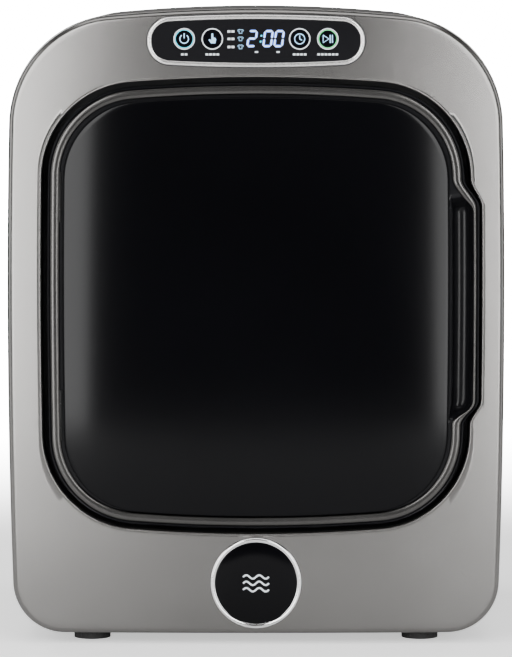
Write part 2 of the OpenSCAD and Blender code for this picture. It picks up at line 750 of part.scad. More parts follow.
coil_n = 9;
coil_h = 2.4;
module idler_spring() color(steel)
    translate([-30, (arm_y[0] + arm_y[1]) / 2, floor_z + 3])
        rotate_extrude()
            polygon(concat(
                [[0, 0]],
                [for (i = [0:coil_n - 1], k = [0:3]) [3.6 + 0.9 * sin(45 * k + 22), coil_h * (i + k / 4)]],
                [[0, coil_h * coil_n]]));

module capacitor() color([0.7, 0.7, 0.72]) {
    along_y(95, floor_z + 24, -60, 24, 20);
    along_y(95, floor_z + 24, -68, -60, 15);
    block([80, -40, floor_z], [110, 4, floor_z + 12]);
}

// ---- Heater and electronics ----

heater_y = [bulk_y + bulk_t, -half_d + 150];
module heater_duct() color(zinc)
    difference() {
        block([heater_x[0], heater_y[0], heater_z[0]], [heater_x[1], heater_y[1], heater_z[1]]);
        block([heater_x[0] + 1.5, heater_y[0] - 1, heater_z[0] + 1.5],
              [heater_x[1] - 1.5, heater_y[1] + 1, heater_z[1] - 1.5]);
    }

fin_n = 17;
module ptc_heater() color([0.8, 0.75, 0.6])
    difference() {
        block([heater_x[0] + 1.5, heater_y[0] + 36, heater_z[0] + 1.5],
              [heater_x[1] - 1.5, heater_y[0] + 54, heater_z[1] - 1.5]);
        for (i = [0:fin_n - 1], j = [0:1])
            block([heater_x[0] + 8 + 4.8 * i, heater_y[0] + 35, heater_z[0] + 9 + 46 * j],
                  [heater_x[0] + 11 + 4.8 * i, heater_y[0] + 55, heater_z[0] + 49 + 46 * j]);
    }

module plenum_shape(d)
    intersection() {
        difference() {
            union() {
                block([heater_x[0] - 4 + d, recess_y, heater_z[0] + 12 + d],
                      [heater_x[1] - 4 - d, bulk_y, heater_z[1] + 100]);
                along_y(0, drum_z, recess_y, bulk_y, throat_r + 38 - d);
            }
            along_y(0, drum_z, recess_y - 1, bulk_y + 1, throat_r + 4 + d);
        }
        slab(recess_y + wall_t + 0.5 + (d > 0 ? 1.5 : 0), bulk_y + (d > 0 ? 1 : 0))
            polygon([[60 + d, 20], [240, 20], [240, 285 - d], [130, 285 - d], [60 + d, 220]]);
    }
module air_plenum() color(charcoal)
    difference() {
        plenum_shape(0);
        plenum_shape(1.5);
    }

module thermostats() color([0.75, 0.75, 0.7])
    for (x = [150, 190]) {
        translate([x, -115, heater_z[1]]) cylinder(h = 6, r = 9);
        translate([x, -115, heater_z[1] + 6]) cylinder(h = 5, r = 6);
    }

box_lo = [-95, bulk_y + bulk_t, drum_z + drum_r + 11];
box_hi = [95, 10, 616];
module board_box() color([0.85, 0.85, 0.82])
    difference() {
        block(box_lo, box_hi);
        block(box_lo + [2, 2, 2], box_hi + [-2, -2, 1]);
        for (i = [0:9])
            block([-60 + 13 * i, 5, box_lo[2] + 12], [-56 + 13 * i, 12, box_lo[2] + 34]);
    }
module main_board() color([0.1, 0.3, 0.15])
    translate([box_lo[0] + 4, box_lo[1] + 4, box_lo[2] + 2]) {
        for (x = [6, 170], y = [6, 146])
            translate([x, y, 0]) cylinder(h = 4, r = 3);
        block([0, 0, 4], [180, 154, 5.6]);
        block([12, 20, 5.6], [52, 56, 33]);
        block([70, 24, 5.6], [90, 44, 22]);
        block([70, 54, 5.6], [90, 74, 22]);
        block([110, 90, 5.6], [150, 120, 12]);
        for (i = [0:3])
            translate([118 + 14 * i, 40, 5.6]) cylinder(h = 20, r = 5);
    }

cabinet();
base_pan();
feet();
fascia();
recess_floor();
back_panel();
back_screws();
rating_plate();
cord_gland();
exhaust_spigot();
control_bezel();
control_lens();
key_power();
key_course();
key_time();
key_start();
display_board();
badge_ring();
badge_disc();
door_frame();
door_skirt();
grip_wall();
door_bezel();
door_glass();
handle_pocket();
door_bowl();
door_seal();
door_strike();
hinge_leaves();
hinge_pins();
hinge_brackets();
door_magnet();
door_switch();
front_bulkhead();
front_felt();
rear_bulkhead();
rear_felt();
bearing_housing();
bearing_bush();
drum_shell();
drum_back();
lifters();
drum_hub();
lint_filter();
belt();
motor_body();
motor_bracket();
motor_shaft();
motor_pulley();
impeller();
fan_scroll();
rear_duct();
exhaust_duct();
idler_arm();
idler_pulley();
idler_spring();
capacitor();
ptc_heater();
heater_duct();
air_plenum();
thermostats();
board_box();
main_board();
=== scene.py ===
import json
import math
import bmesh
import bpy
import numpy as np
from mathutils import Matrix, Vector


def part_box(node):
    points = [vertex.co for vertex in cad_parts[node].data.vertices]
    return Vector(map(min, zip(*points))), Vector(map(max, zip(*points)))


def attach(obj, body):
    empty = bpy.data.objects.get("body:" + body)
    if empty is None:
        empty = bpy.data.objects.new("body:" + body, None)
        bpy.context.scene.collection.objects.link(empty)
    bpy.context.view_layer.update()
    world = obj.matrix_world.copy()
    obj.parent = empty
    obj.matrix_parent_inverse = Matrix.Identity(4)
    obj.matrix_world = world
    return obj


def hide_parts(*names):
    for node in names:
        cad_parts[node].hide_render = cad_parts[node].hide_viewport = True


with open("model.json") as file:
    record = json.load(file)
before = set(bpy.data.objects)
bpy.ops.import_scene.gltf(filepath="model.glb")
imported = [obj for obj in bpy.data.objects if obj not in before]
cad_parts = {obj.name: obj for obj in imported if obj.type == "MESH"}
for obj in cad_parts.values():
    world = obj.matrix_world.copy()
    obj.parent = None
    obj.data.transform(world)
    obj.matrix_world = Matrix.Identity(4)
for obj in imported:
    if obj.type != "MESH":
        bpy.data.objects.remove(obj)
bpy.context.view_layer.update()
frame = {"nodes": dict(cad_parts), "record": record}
nodes = frame["nodes"]

# Lengths are in millimetres here and become metres in add_mesh.
MM = 0.001


def cad_box(node):
    """Low and high corners of a node of the frame, in millimetres."""
    lo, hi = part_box(node)
    return np.array(lo) / MM, np.array(hi) / MM


# ---- Sizes taken from the frame ----
cab_lo, cab_hi = cad_box("cabinet")
skirt_lo, skirt_hi = cad_box("door_skirt")
lens_lo, lens_hi = cad_box("control_lens")
badge_lo, badge_hi = cad_box("badge_ring")
HALF_W = cab_hi[0]
BASE_Z = cad_box("base_pan")[0][2]
TOP_Z = cab_hi[2]
FRONT_Y = cad_box("fascia")[0][1]
RECESS_Y = cad_box("recess_floor")[0][1]
GLASS_Y = cad_box("door_glass")[0][1]
LENS_Y = lens_lo[1]
KEY_Z = lens_lo[2] + 23.7
DOOR_W = -skirt_lo[0]
DOOR_Z = (skirt_lo[2], skirt_hi[2])
DOOR_MID = (DOOR_Z[0] + DOOR_Z[1]) / 2
# How far the door's right side swells outwards at the grip
BULGE = cad_box("grip_wall")[1][0] - DOOR_W

# ---- Outlines: large arcs along the edges, smaller arcs at the corners ----
CROWN_R = 1600.0
SIDE_R = 8000.0
FLAT_R = 200000.0
# Heights between which the swelling grows and fades
BULGE_LO = (222.0, 246.0)
BULGE_HI = (441.0, 470.0)
# Points along each stretch of an outline
N_RIGHT, N_LEFT, N_CORNER, N_TOP = 110, 12, 26, 25
# Radii of the corners
CABINET_TOP_R = 110
CABINET_LOW_R = 52
OPENING_R = 96
DOOR_R = 90
GLASS_R = 78
LENS_R = 18.5
# Gaps round the door, and how much less than the door its opening swells
SIDE_GAP = 6.0
LOW_GAP = 4.6
TOP_GAP = 4.9
OPENING_LESS = 3.5
# Distances from the door's outline in to the glass
GLASS_SIDE = 15.5
GLASS_LOW = 13
GLASS_TOP = 15
# How far the fascia's top stays below the cabinet's
FASCIA_DROP = 1.5
LENS_HALF_W = 104


def soft(t):
    """A smooth step from 0 to 1."""
    t = np.clip(t, 0.0, 1.0)
    return t * t * (3 - 2 * t)


def bump(z, lo=BULGE_LO, hi=BULGE_HI):
    """Rises from 0 to 1 between the heights in lo and falls back to 0 between those in hi."""
    return soft((z - lo[0]) / (lo[1] - lo[0])) * soft((hi[1] - z) / (hi[1] - hi[0]))


def arc(centre, r, a0, a1, n):
    a = np.linspace(a0, a1, n)
    return np.stack([centre[0] + r * np.cos(a), centre[1] + r * np.sin(a)], 1)


def corner(w, h, crown, r):
    """Centre of a corner arc that touches the side and the crown, and the angles where it does."""
    a, b = np.array([0.0, h - crown]), np.array([w - SIDE_R, 0.0])
    ra, rb = crown - r, SIDE_R - r
    d = np.linalg.norm(b - a)
    u = (b - a) / d
    t = (d * d + ra * ra - rb * rb) / (2 * d)
    c = a + t * u + math.sqrt(ra * ra - t * t) * np.array([u[1], -u[0]])
    return c, math.atan2(c[1], c[0] - w + SIDE_R), math.atan2(c[1] - h + crown, c[0])


def pillow(w, z0, z1, rt, rb, bulge=0.0, low=CROWN_R):
    """A closed outline in (x, z), anticlockwise from the lower right, with a fixed number of points.

    w is the half width, rt and rb the upper and lower corner radii, low the radius of the lower edge.
    """
    h, m = (z1 - z0) / 2, (z0 + z1) / 2
    (ct, st, tt), (cb, sb, tb) = corner(w, h, CROWN_R, rt), corner(w, h, low, rb)
    z_hi = m + ct[1] + rt * math.sin(st)
    z_lo = m - cb[1] - rb * math.sin(sb)

    def side(n):
        z = np.linspace(z_lo, z_hi, n + 2)[1:-1]
        return np.stack([w - SIDE_R + np.sqrt(SIDE_R**2 - (z - m) ** 2), z], 1)

    right = side(N_RIGHT)
    right[:, 0] += bulge * bump(right[:, 1])
    tr = arc((ct[0], m + ct[1]), rt, st, tt, N_CORNER)
    top = arc((0, z1 - CROWN_R), CROWN_R, tt, math.pi - tt, N_TOP + 2)[1:-1]
    tl = tr[::-1] * [-1, 1]
    left = side(N_LEFT)[::-1] * [-1, 1]
    br = arc((cb[0], m - cb[1]), rb, -tb, -sb, N_CORNER)
    bl = br[::-1] * [-1, 1]
    bottom = arc((0, z0 + low), low, math.pi + tb, 2 * math.pi - tb, N_TOP + 2)[1:-1]
    return np.concatenate([right, tr, top, tl, left, bl, bottom, br])


# Each outline below is moved by d: inwards, except for the door opening and the control window.
def body_outline(d):
    return pillow(HALF_W - d, BASE_Z + d, TOP_Z - d, CABINET_TOP_R - d, CABINET_LOW_R - d, low=FLAT_R)


def fascia_outline(d):
    top = TOP_Z - FASCIA_DROP - d
    return pillow(HALF_W - d, BASE_Z + d, top, CABINET_TOP_R - d, CABINET_LOW_R - d, low=FLAT_R)


def opening_outline(d):
    low = DOOR_Z[0] - LOW_GAP - d
    top = DOOR_Z[1] + TOP_GAP + d
    return pillow(DOOR_W + SIDE_GAP + d, low, top, OPENING_R + d, OPENING_R + d, BULGE - OPENING_LESS)


def door_outline(d):
    return pillow(DOOR_W - d, DOOR_Z[0] + d, DOOR_Z[1] - d, DOOR_R - d, DOOR_R - d, BULGE)


def glass_outline(d):
    low = DOOR_Z[0] + GLASS_LOW + d
    top = DOOR_Z[1] - GLASS_TOP - d
    return pillow(DOOR_W - GLASS_SIDE - d, low, top, GLASS_R - d, GLASS_R - d)


def lens_outline(d):
    return pillow(LENS_HALF_W + d, lens_lo[2] - d, lens_hi[2] + d, LENS_R + d, LENS_R + d)


def at(outline, y):
    """Outline points in space, with y a number or one value a point."""
    return np.stack([outline[:, 0], np.broadcast_to(y, len(outline)), outline[:, 1]], 1)


# ---- Mesh building ----
def finish_object(name, mesh, mats, sharp_deg=32.0):
    """An object in the scene, shaded smooth up to an angle between faces."""
    for poly in mesh.polygons:
        poly.use_smooth = True
    mesh.set_sharp_from_angle(angle=math.radians(sharp_deg))
    obj = bpy.data.objects.new(name, mesh)
    bpy.context.scene.collection.objects.link(obj)
    for mat in mats:
        mesh.materials.append(mat)
    return obj


def add_mesh(name, verts, faces, mats, body, slot=None, replaces=(), mat_ids=None, sharp_deg=32.0,
             clip_z=None):
    """A piece from points in millimetres, riding on a body and cut off below clip_z."""
    mesh = bpy.data.meshes.new(name)
    mesh.from_pydata([tuple(v) for v in np.asarray(verts) * MM], [], faces)
    if mat_ids is not None:
        mesh.polygons.foreach_set("material_index", mat_ids)
    bm = bmesh.new()
    bm.from_mesh(mesh)
    bmesh.ops.remove_doubles(bm, verts=bm.verts, dist=1e-6)
    if clip_z is not None:
        geom = bm.verts[:] + bm.edges[:] + bm.faces[:]
        bmesh.ops.bisect_plane(bm, geom=geom, plane_co=(0, 0, clip_z * MM), plane_no=(0, 0, -1),
                               clear_outer=True)
    bmesh.ops.recalc_face_normals(bm, faces=bm.faces)
    bm.to_mesh(mesh)
    bm.free()
    obj = finish_object(name, mesh, mats, sharp_deg)
    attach(obj, body)
    if replaces:
        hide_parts(*replaces)


def loft(name, loops, mats, body, ids=None, cap=False, ring=False, **kwargs):
    """Quads between successive closed loops of equal length.

    ids gives each band its material, cap closes the last loop, ring joins the last loop to the first.
    """
    n = len(loops[0])
    verts = np.concatenate(loops)
    faces, mat_ids = [], []
    bands = len(loops) if ring else len(loops) - 1
    for k in range(bands):
        a, b = k * n, ((k + 1) % len(loops)) * n
        for i in range(n):
            j = (i + 1) % n
            faces.append((a + i, a + j, b + j, b + i))
            mat_ids.append(ids[k] if ids else 0)
    if cap:
        faces.append(tuple(range((len(loops) - 1) * n, len(loops) * n)))
        mat_ids.append(ids[-1] if ids else 0)
    add_mesh(name, verts, faces, mats, body, mat_ids=mat_ids, **kwargs)


def spin(name, profile, x, z, mats, body, segments=128, **kwargs):
    """A closed (radius, y) profile turned about an axis along Y."""
    a = np.linspace(0, 2 * math.pi, segments, endpoint=False)
    loops = []
    for r, y in profile:
        loops.append(np.stack([x + r * np.cos(a), np.full(segments, y), z + r * np.sin(a)], 1))
    loft(name, loops, mats, body, **kwargs)


# ---- Materials ----
IOR = 1.5
# Share of the slow drift, against the fine grain, in tone and roughness
DRIFT_SHARE = 0.55
LEAST_ROUGH = 0.02


def surface(name, colour, metallic=0.0, rough=0.5, grain=900.0, bump_mm=0.0, vary=0.06, rough_vary=0.08,
            stretch=(1, 1, 1), glow=None, glow_strength=0.0, large=6.0, specular=0.5):
    """A procedural finish: fine grain in bump and roughness, and a slow drift of tone."""
    mat = bpy.data.materials.new(name)
    mat.use_nodes = True
    tree = mat.node_tree
    node, link = tree.nodes, tree.links
    shader = node["Principled BSDF"]
    shader.inputs["Metallic"].default_value = metallic
    shader.inputs["IOR"].default_value = IOR
    shader.inputs["Specular IOR Level"].default_value = specular
    place = node.new("ShaderNodeTexCoord")
    mapping = node.new("ShaderNodeMapping")
    mapping.inputs["Scale"].default_value = stretch
    link.new(place.outputs["Object"], mapping.inputs["Vector"])
    fine = node.new("ShaderNodeTexNoise")
    fine.inputs["Scale"].default_value = grain
    fine.inputs["Detail"].default_value = 3.0
    link.new(mapping.outputs["Vector"], fine.inputs["Vector"])
    slow = node.new("ShaderNodeTexNoise")
    slow.inputs["Scale"].default_value = large
    slow.inputs["Detail"].default_value = 2.0
    link.new(place.outputs["Object"], slow.inputs["Vector"])
    both = node.new("ShaderNodeMix")
    both.data_type = "FLOAT"
    both.inputs["Factor"].default_value = DRIFT_SHARE
    link.new(fine.outputs["Fac"], both.inputs[2])
    link.new(slow.outputs["Fac"], both.inputs[3])
    ramp = node.new("ShaderNodeValToRGB")
    ramp.color_ramp.elements[0].position = 0.3
    ramp.color_ramp.elements[1].position = 0.7
    low = [max(c * (1 - vary), 0.0) for c in colour]
    high = [min(c * (1 + vary), 1.0) for c in colour]
    ramp.color_ramp.elements[0].color = (*low, 1)
    ramp.color_ramp.elements[1].color = (*high, 1)
    link.new(both.outputs[0], ramp.inputs["Fac"])
    link.new(ramp.outputs["Color"], shader.inputs["Base Color"])
    rough_map = node.new("ShaderNodeMapRange")
    rough_map.inputs["To Min"].default_value = max(rough - rough_vary, LEAST_ROUGH)
    rough_map.inputs["To Max"].default_value = min(rough + rough_vary, 1.0)
    link.new(both.outputs[0], rough_map.inputs["Value"])
    link.new(rough_map.outputs["Result"], shader.inputs["Roughness"])
    if bump_mm:
        relief = node.new("ShaderNodeBump")
        relief.inputs["Strength"].default_value = 1.0
        relief.inputs["Distance"].default_value = bump_mm * MM
        link.new(fine.outputs["Fac"], relief.inputs["Height"])
        link.new(relief.outputs["Normal"], shader.inputs["Normal"])
    if glow:
        shader.inputs["Emission Color"].default_value = (*glow, 1)
        shader.inputs["Emission Strength"].default_value = glow_strength
    return mat


PAINT = surface("metallic_paint", (0.142, 0.138, 0.134), 0.92, 0.25, grain=2600, bump_mm=0.012, vary=0.12)
CABINET_PAINT = surface("cabinet_paint", (0.19, 0.185, 0.18), 0.8, 0.38, grain=1800, bump_mm=0.02,
                        vary=0.07)
TRIM = surface("satin_trim", (0.62, 0.61, 0.60), 0.9, 0.26, grain=1500, bump_mm=0.004, vary=0.05)
# A darker copy of the fascia's metallic paint for the door band: painted shade standing in for the dark
# surroundings the band reflects
SHADED_BAND_PAINT = surface("band_paint_painted_shade", (0.06, 0.0585, 0.057), 1.0, 0.26, grain=2200, bump_mm=0.004, vary=0.08)
CHROME = surface("bright_ring", (0.80, 0.80, 0.80), 1.0, 0.17, grain=900, bump_mm=0.002, vary=0.04,
                 rough_vary=0.04)
GLASS = surface("black_glass", (0.0015, 0.0015, 0.002), 0.0, 0.12, grain=400, vary=0.2, rough_vary=0.015,
                specular=0.09)
LENS = surface("window_black", (0.002, 0.002, 0.003), 0.0, 0.12, grain=500, vary=0.2, rough_vary=0.02,
               specular=0.09)
GLOSS = surface("gloss_black", (0.006, 0.006, 0.007), 0.0, 0.22, grain=1200, bump_mm=0.004, vary=0.2,
                rough_vary=0.05, specular=0.12)
DARK = surface("dark_plastic", (0.013, 0.013, 0.014), 0.0, 0.5, grain=1800, bump_mm=0.03, vary=0.15,
               specular=0.28)
# Pale print with a faint glow added: the pale colour is the print's own, the glow is painted light
PALE_MARK_WITH_GLOW = surface("pale_print_painted_glow", (0.62, 0.66, 0.70), 0.0, 0.5, glow=(0.75, 0.82, 0.88),
                     glow_strength=0.12)
LIT_ICON = surface("lit_icon", (0.3, 0.55, 0.8), 0.0, 0.5, glow=(0.32, 0.62, 0.95), glow_strength=0.65)
LIT_DIGIT = surface("lit_digit", (0.3, 0.5, 1.0), 0.0, 0.5, glow=(0.02, 0.14, 1.0), glow_strength=1.3)
LIT_CORE = surface("lit_core", (0.8, 0.9, 1.0), 0.0, 0.5, glow=(0.20, 0.42, 1.0), glow_strength=1.2)
LIT_CYAN = surface("lit_cyan", (0.02, 0.45, 0.6), 0.0, 0.5, glow=(0.01, 0.55, 0.75), glow_strength=0.75)
LIT_GREEN = surface("lit_green", (0.05, 0.5, 0.15), 0.0, 0.5, glow=(0.05, 0.60, 0.16), glow_strength=0.7)

SLOT_FINISH = {
    "cabinet_paint": CABINET_PAINT,
    "fascia_paint": PAINT,
    "satin_trim": TRIM,
    "bright_trim": CHROME,
    "gloss_black": GLOSS,
    "key_black": LENS,
    "black_glass": GLASS,
    "rubber": surface("black_rubber", (0.022, 0.022, 0.022), 0.0, 0.7, grain=1200, bump_mm=0.05,
                      vary=0.2),
    "belt_rubber": surface("belt_rubber", (0.015, 0.015, 0.015), 0.0, 0.6, grain=500, bump_mm=0.1,
                           vary=0.2, stretch=(1, 12, 1)),
    "charcoal_plastic": DARK,
    "bowl_plastic": surface("bowl_plastic", (0.05, 0.05, 0.053), 0.0, 0.35, grain=1600, bump_mm=0.02,
                            vary=0.1),
    "zinc_steel": surface("zinc_sheet", (0.50, 0.51, 0.53), 0.85, 0.38, grain=90, bump_mm=0.01,
                          vary=0.16, large=30),
    "drum_steel": surface("drum_steel", (0.60, 0.60, 0.60), 1.0, 0.27, grain=700, bump_mm=0.006,
                          vary=0.08, stretch=(1, 0.03, 1)),
    "black_steel": surface("black_steel", (0.012, 0.012, 0.012), 0.0, 0.45, grain=900, bump_mm=0.02,
                           vary=0.15, specular=0.3),
    "bright_steel": surface("plated_steel", (0.55, 0.55, 0.56), 1.0, 0.3, grain=800, bump_mm=0.006,
                            vary=0.08),
    "cast_alloy": surface("cast_alloy", (0.48, 0.48, 0.49), 0.9, 0.48, grain=700, bump_mm=0.06,
                          vary=0.1),
    "bronze": surface("bronze", (0.50, 0.31, 0.13), 1.0, 0.35, grain=900, bump_mm=0.02, vary=0.12),
    "felt": surface("felt", (0.62, 0.58, 0.50), 0.0, 0.95, grain=800, bump_mm=0.4, vary=0.18),
    "filter_plastic": surface("filter_plastic", (0.10, 0.17, 0.27), 0.0, 0.4, grain=1500, bump_mm=0.02,
                              vary=0.08),
    "motor_paint": surface("motor_paint", (0.11, 0.12, 0.13), 0.2, 0.45, grain=600, bump_mm=0.04,
                           vary=0.1),
    "circuit_board": surface("circuit_board", (0.02, 0.11, 0.05), 0.0, 0.35, grain=300, bump_mm=0.02,
                             vary=0.25),
    "pale_plastic": surface("pale_plastic", (0.62, 0.62, 0.58), 0.0, 0.45, grain=1500, bump_mm=0.03,
                            vary=0.05),
    "heater_ceramic": surface("heater_ceramic", (0.55, 0.50, 0.42), 0.1, 0.6, grain=700, bump_mm=0.05,
                              vary=0.15),
    "plate_label": surface("blank_plate", (0.55, 0.55, 0.55), 0.8, 0.35, grain=600, bump_mm=0.004,
                           vary=0.05, stretch=(0.05, 1, 1)),
}
for entry in frame["record"]["subparts"]:
    cad = nodes[entry["node"]]
    cad.data.materials.clear()
    cad.data.materials.append(SLOT_FINISH[entry["material_slot"]])


# ---- Cabinet and fascia ----
CABINET_WALL = 1.2
# How far the front falls back from the middle to its sides
CROWN_DROP = 8.0


def crown_y(points):
    """The fascia's gently crowned front."""
    return FRONT_Y + CROWN_DROP * (points[:, 0] / HALF_W) ** 2


def build_cabinet():
    """The sheet wrap: outside from front to back, then the inside back to the front."""
    y0, y1, t = cab_lo[1], cab_hi[1], CABINET_WALL
    steps = [
        (0.8, y0), (0.2, y0 + 0.3), (0, y0 + 1.0), (0, y1 - 2), (0.5, y1 - 0.6), (1.6, y1),
        (t + 1.6, y1), (t + 0.5, y1 - 1), (t, y1 - 2), (t, y0 + 1.0), (t, y0),
    ]
    loft("cabinet_shell", [at(body_outline(d), y) for d, y in steps], [CABINET_PAINT], "base", ring=True,
         slot="cabinet_paint", replaces=("cabinet",), clip_z=cab_lo[2])


EDGE_R = 5.5
EDGE_STEPS = 8
FACE_STEPS = 14
FASCIA_WALL = 3
# How far behind the front the opening's wall leaves the back of the face
WALL_ROOT = 14
# The raised lip of the door opening: distance out from the opening, and y behind the crowned face
LIP = [
    (3.0, -0.25), (2.5, -0.75), (1.9, -1.05), (1.2, -1.0), (0.6, -0.5), (0.15, 0.4), (0.0, 1.6), (0.0, 9.0),
]


def build_fascia():
    """The front: rounded outer edge, crowned face, lip and wall of the door opening, and its back."""
    back_y = cab_lo[1]
    loops = [at(fascia_outline(3.0), back_y), at(fascia_outline(0), back_y)]
    for k in range(EDGE_STEPS + 1):
        turn = math.pi / 2 * k / EDGE_STEPS
        outline = fascia_outline(EDGE_R * (1 - math.cos(turn)))
        loops.append(at(outline, crown_y(outline) + EDGE_R * (1 - math.sin(turn))))
    outer, inner = fascia_outline(EDGE_R), opening_outline(3.2)
    for k in range(1, FACE_STEPS + 1):
        mid = outer + (inner - outer) * k / FACE_STEPS
        loops.append(at(mid, crown_y(mid)))
    for d, rise in LIP:
        outline = opening_outline(d)
        loops.append(at(outline, crown_y(outline) + rise))
    painted = len(loops) - 1
    wall_end = RECESS_Y - 0.1
    behind = opening_outline(2.5)
    loops += [at(opening_outline(0), wall_end), at(behind, wall_end), at(behind, FRONT_Y + WALL_ROOT)]
    for k in (12, 8, 4, 0):
        mid = outer + (inner - outer) * k / FACE_STEPS
        loops.append(at(mid, crown_y(mid) + FASCIA_WALL))
    ids = [0 if k < painted else 1 for k in range(len(loops))]
    loft("fascia_front", loops, [PAINT, DARK], "base", ids=ids, ring=True, slot="fascia_paint",
         replaces=("fascia",), sharp_deg=50)


build_cabinet()
build_fascia()


# ---- Door ----
# Heights between which the handle pocket opens and closes
POCKET = ((226.0, 240.0), (436.0, 452.0))
POCKET_DEEP = 21.0
POCKET_Y = -209.6
BAND_Y = -214.6
# Share of the band's width that gives way to the pocket
BAND_THINS = 0.66


def band_inner():
    """Inner edge of the silver door band, which thins to a rim beside the handle pocket."""
    outer, inner = door_outline(3.0), door_outline(12.0)
    thin = np.where(outer[:, 0] > 0, bump(outer[:, 1], *POCKET), 0.0)[:, None]
    return inner + (outer - inner) * thin * BAND_THINS


# Across the band: share of the way from its outer to its inner edge, and y behind BAND_Y
BAND_PROFILE = [
    (0.0, 5.5), (0.0, 2.2), (0.03, 1.0), (0.10, 0.3), (0.22, 0.0), (0.5, -0.1),
    (0.78, 0.25), (0.92, 0.8), (0.99, 1.7), (1.0, 3.0), (1.0, 5.5),
]
# From the glass to the band: share of the way, and share of the pocket's depth
POCKET_PROFILE = [
    (-0.6, 0), (0.10, 0), (0.14, 0.1), (0.17, 0.5), (0.22, 0.9), (0.32, 1.0),
    (0.75, 1.0), (0.88, 0.85), (0.95, 0.4), (1.0, 0.0), (1.02, 0),
]
# The thin rim behind the band: distance in from the door's outline, and y
RIM_PROFILE = [(0.4, -210.7), (0.5, -211.3), (1.1, -211.9), (1.9, -211.6), (2.6, -211.0), (2.8, -210.7)]


def build_door():
    """The band, the black surround that dips into the handle pocket, and the rim behind the band."""
    outer, inner = door_outline(3.0), band_inner()
    loops = [at(outer + (inner - outer) * t, BAND_Y + y) for t, y in BAND_PROFILE]
    # The band is drawn in the darkened paint copy (painted shade), though its finish is the fascia paint
    loft("door_band", loops, [SHADED_BAND_PAINT], "door", ring=True, slot="fascia_paint", replaces=("door_bezel",),
         sharp_deg=50)
    edge = glass_outline(0)
    deep = np.where(edge[:, 0] > 0, bump(edge[:, 1], *POCKET), 0.0) * POCKET_DEEP
    loops = [at(edge + (inner - edge) * t, POCKET_Y + deep * s) for t, s in POCKET_PROFILE]
    loft("pocket_surround", loops, [GLOSS], "door", slot="gloss_black", replaces=("handle_pocket",),
         sharp_deg=60)
    loops = [at(door_outline(d), y) for d, y in RIM_PROFILE]
    loft("door_rim", loops, [GLOSS], "door", slot="gloss_black", sharp_deg=50)


# Half sizes of the glass, and how far back its sides and its ends curl
GLASS_HALF_W = 194.0
GLASS_HALF_H = 212.0
SIDE_CURL = 6.5
END_CURL = 4.0


def glass_y(points):
    """The glass is nearly flat in the middle and curls back towards its edge."""
    u = np.abs(points[:, 0]) / GLASS_HALF_W
    v = np.abs(points[:, 1] - DOOR_MID) / GLASS_HALF_H
    return GLASS_Y + SIDE_CURL * u**3.2 + END_CURL * v**4.5


def build_glass():
    """The glass: a short skirt, a rounded edge, then loops that close in on the middle."""
    edge = glass_outline(0)
    loops = [at(edge, np.maximum(glass_y(edge), -213) + 3.5)]
    for d, back in [(0.0, 1.1), (0.25, 0.45), (0.8, 0.1)]:
        outline = glass_outline(d)
        loops.append(at(outline, glass_y(outline) + back))
    rim = glass_outline(1.6)
    centre = np.array([0.0, DOOR_MID])
    for s in np.concatenate([np.linspace(1.0, 0.55, 30), np.linspace(0.52, 0.02, 16)]):
        ring = centre + (rim - centre) * s
        loops.append(at(ring, glass_y(ring)))
    loft("crowned_glass", loops, [GLASS], "door", cap=True, slot="black_glass", replaces=("door_glass",),
         sharp_deg=70)


build_door()
build_glass()


# ---- Control window ----
def flat_ribbon(points, width, closed=False):
    """Quads of a ribbon of even width along points in (x, z)."""
    p = np.array(points, float)
    n = len(p)
    verts, faces = [], []
    for i in range(n):
        before = p[i - 1] if (i > 0 or closed) else p[i]
        after = p[(i + 1) % n] if (i < n - 1 or closed) else p[i]
        d = after - before
        side = np.array([-d[1], d[0]]) / (np.linalg.norm(d) + 1e-9) * width / 2
        verts += [p[i] + side, p[i] - side]
    for i in range(n if closed else n - 1):
        j = (i + 1) % n
        faces.append((2 * i, 2 * i + 1, 2 * j + 1, 2 * j))
    return verts, faces


def mark(name, shapes, y, mat, body, slot="key_black", thick=0.12):
    """Thin raised marks: each shape is (verts in (x, z), faces)."""
    verts, faces = [], []
    for pts, quads in shapes:
        n, base = len(pts), len(verts)
        verts += [(x, y, z) for x, z in pts] + [(x, y + thick, z) for x, z in pts]
        # A side wall goes on each edge that only one face has
        edges = {}
        for f in quads:
            faces.append(tuple(base + i for i in f))
            faces.append(tuple(base + n + i for i in reversed(f)))
            for a, b in zip(f, f[1:] + f[:1]):
                edges[(a, b)] = edges.get((b, a)) is None
                if not edges[(a, b)]:
                    edges[(b, a)] = False
        for (a, b), free in edges.items():
            if free:
                faces.append((base + a, base + b, base + n + b, base + n + a))
    add_mesh(name, verts, faces, [mat], body, slot=slot, sharp_deg=20)


def ring_shape(cx, cz, r, width, a0=0.0, a1=360.0, n=64):
    """A ribbon along a circle, or along an arc of it between two angles in degrees."""
    closed = a1 - a0 >= 360
    a = np.radians(np.linspace(a0, a1, n, endpoint=not closed))
    return flat_ribbon(np.stack([cx + r * np.cos(a), cz + r * np.sin(a)], 1), width, closed)


def line_shape(points, width):
    """A ribbon along a line with free ends."""
    return flat_ribbon(points, width)


def poly_shape(points):
    """One filled face."""
    return list(points), [tuple(range(len(points)))]


KEY_BODY = {
    "key_power": "power_key",
    "key_course": "course_key",
    "key_time": "time_key",
    "key_start": "start_key",
}
# The x of each key's middle and the y of its face
KEYS = {}
KEY_FACE = {}
for key_node in KEY_BODY:
    lo, hi = cad_box(key_node)
    KEYS[key_node] = (lo[0] + hi[0]) / 2
    KEY_FACE[key_node] = lo[1]

MARK_LIFT = 0.1
HALO_R = 8.9
HALO_WIDTH = 0.8
ICON_SCALE = 0.85
